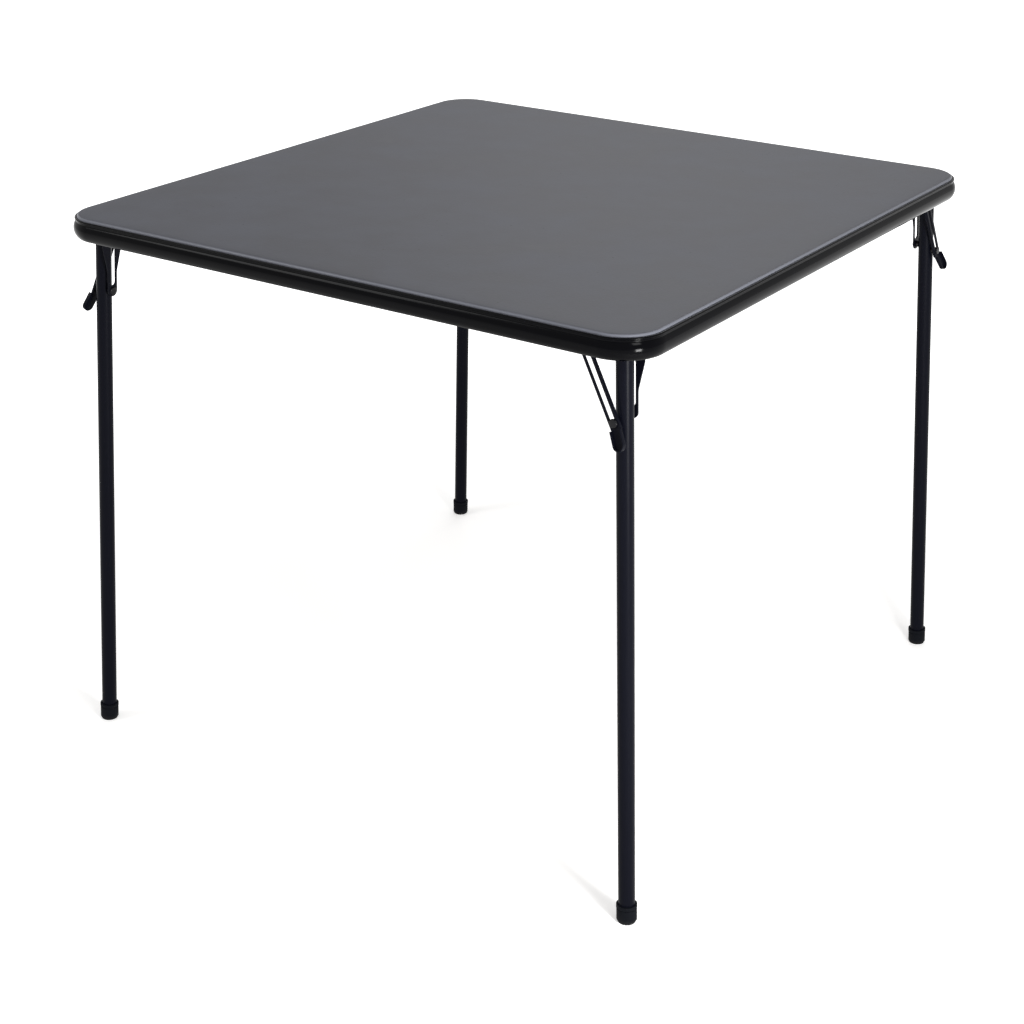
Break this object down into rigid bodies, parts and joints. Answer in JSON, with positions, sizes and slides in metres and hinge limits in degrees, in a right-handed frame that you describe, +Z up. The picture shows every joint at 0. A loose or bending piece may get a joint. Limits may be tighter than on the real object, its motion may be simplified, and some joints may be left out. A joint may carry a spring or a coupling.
{
  "type": "folding card table",
  "caption": "Square folding card table with a padded vinyl top in a rounded steel rim and splayed tube legs, each held open by a slotted brace.",
  "frame": {"origin": "on the floor under the middle of the top", "axes": "+Z up, -Y the front side, +X the right side seen from the front"},
  "size_m": [0.876, 0.876, 0.724],
  "materials": {
    "black_enamel": "gloss",
    "grey_vinyl": "satin",
    "hardboard": "matte",
    "zinc_screws": "satin",
    "zinc_rivets": "satin",
    "black_rivets": "gloss",
    "black_rubber": "matte"
  },
  "bodies": {
    "root": {"frame_rim": "black_enamel", "top_board": "hardboard", "vinyl_top": "grey_vinyl", "panel_screws": "zinc_screws", "front_right_corner_bracket": "black_enamel", "front_right_bracket_rivets": "zinc_rivets", "front_right_pivot_rivet": "zinc_rivets", "front_right_brace_rivet": "zinc_rivets", "front_left_corner_bracket": "black_enamel", "front_left_bracket_rivets": "zinc_rivets", "front_left_pivot_rivet": "zinc_rivets", "front_left_brace_rivet": "zinc_rivets", "back_left_corner_bracket": "black_enamel", "back_left_bracket_rivets": "zinc_rivets", "back_left_pivot_rivet": "zinc_rivets", "back_left_brace_rivet": "zinc_rivets", "back_right_corner_bracket": "black_enamel", "back_right_bracket_rivets": "zinc_rivets", "back_right_pivot_rivet": "zinc_rivets", "back_right_brace_rivet": "zinc_rivets"},
    "front_right_leg": {"front_right_leg_tube": "black_enamel", "front_right_foot_cap": "black_rubber", "front_right_leg_plate": "black_enamel", "front_right_plate_rivet": "black_rivets"},
    "front_right_brace_arm": {"front_right_brace": "black_enamel"},
    "front_right_slide": {"front_right_brace_pin": "black_rivets"},
    "front_left_leg": {"front_left_leg_tube": "black_enamel", "front_left_foot_cap": "black_rubber", "front_left_leg_plate": "black_enamel", "front_left_plate_rivet": "black_rivets"},
    "front_left_brace_arm": {"front_left_brace": "black_enamel"},
    "front_left_slide": {"front_left_brace_pin": "black_rivets"},
    "back_left_leg": {"back_left_leg_tube": "black_enamel", "back_left_foot_cap": "black_rubber", "back_left_leg_plate": "black_enamel", "back_left_plate_rivet": "black_rivets"},
    "back_left_brace_arm": {"back_left_brace": "black_enamel"},
    "back_left_slide": {"back_left_brace_pin": "black_rivets"},
    "back_right_leg": {"back_right_leg_tube": "black_enamel", "back_right_foot_cap": "black_rubber", "back_right_leg_plate": "black_enamel", "back_right_plate_rivet": "black_rivets"},
    "back_right_brace_arm": {"back_right_brace": "black_enamel"},
    "back_right_slide": {"back_right_brace_pin": "black_rivets"}
  },
  "joints": [
    {"name": "front_right_leg_fold", "type": "hinge", "parent": "root", "child": "front_right_leg", "pos_m": [0.389, -0.3915, 0.696], "axis": [0, 0.9992, -0.0388], "range_deg": [0, 93.04]},
    {"name": "front_right_brace_swing", "type": "hinge", "parent": "root", "child": "front_right_brace_arm", "pos_m": [0.344, -0.39111, 0.70599], "axis": [0, 0.9992, -0.0388], "range_deg": [0, 106.25]},
    {"name": "front_right_pin_slide", "type": "slide", "parent": "front_right_brace_arm", "child": "front_right_slide", "axis": [-0.4601, 0.0344, 0.8872], "range_m": [0, 0.06557]},
    {"name": "front_left_leg_fold", "type": "hinge", "parent": "root", "child": "front_left_leg", "pos_m": [-0.3915, -0.389, 0.696], "axis": [0.9992, 0, -0.0388], "range_deg": [0, 93.04]},
    {"name": "front_left_brace_swing", "type": "hinge", "parent": "root", "child": "front_left_brace_arm", "pos_m": [-0.39111, -0.344, 0.70599], "axis": [0.9992, 0, -0.0388], "range_deg": [0, 106.25]},
    {"name": "front_left_pin_slide", "type": "slide", "parent": "front_left_brace_arm", "child": "front_left_slide", "axis": [0.0344, 0.4601, 0.8872], "range_m": [0, 0.06557]},
    {"name": "back_left_leg_fold", "type": "hinge", "parent": "root", "child": "back_left_leg", "pos_m": [-0.389, 0.3915, 0.696], "axis": [0, -0.9992, -0.0388], "range_deg": [0, 93.04]},
    {"name": "back_left_brace_swing", "type": "hinge", "parent": "root", "child": "back_left_brace_arm", "pos_m": [-0.344, 0.39111, 0.70599], "axis": [0, -0.9992, -0.0388], "range_deg": [0, 106.25]},
    {"name": "back_left_pin_slide", "type": "slide", "parent": "back_left_brace_arm", "child": "back_left_slide", "axis": [0.4601, -0.0344, 0.8872], "range_m": [0, 0.06557]},
    {"name": "back_right_leg_fold", "type": "hinge", "parent": "root", "child": "back_right_leg", "pos_m": [0.3915, 0.389, 0.696], "axis": [-0.9992, 0, -0.0388], "range_deg": [0, 93.04]},
    {"name": "back_right_brace_swing", "type": "hinge", "parent": "root", "child": "back_right_brace_arm", "pos_m": [0.39111, 0.344, 0.70599], "axis": [-0.9992, 0, -0.0388], "range_deg": [0, 106.25]},
    {"name": "back_right_pin_slide", "type": "slide", "parent": "back_right_brace_arm", "child": "back_right_slide", "axis": [-0.0344, -0.4601, 0.8872], "range_m": [0, 0.06557]}
  ],
  "couplings": [
    {"joint": "front_right_brace_swing", "follows": "front_right_leg_fold", "ratio": 1.142},
    {"joint": "front_right_pin_slide", "follows": "front_right_leg_fold", "m_per_rad": 0.040376},
    {"joint": "front_left_brace_swing", "follows": "front_left_leg_fold", "ratio": 1.142},
    {"joint": "front_left_pin_slide", "follows": "front_left_leg_fold", "m_per_rad": 0.040376},
    {"joint": "back_left_brace_swing", "follows": "back_left_leg_fold", "ratio": 1.142},
    {"joint": "back_left_pin_slide", "follows": "back_left_leg_fold", "m_per_rad": 0.040376},
    {"joint": "back_right_brace_swing", "follows": "back_right_leg_fold", "ratio": 1.142},
    {"joint": "back_right_pin_slide", "follows": "back_right_leg_fold", "m_per_rad": 0.040376}
  ]
}
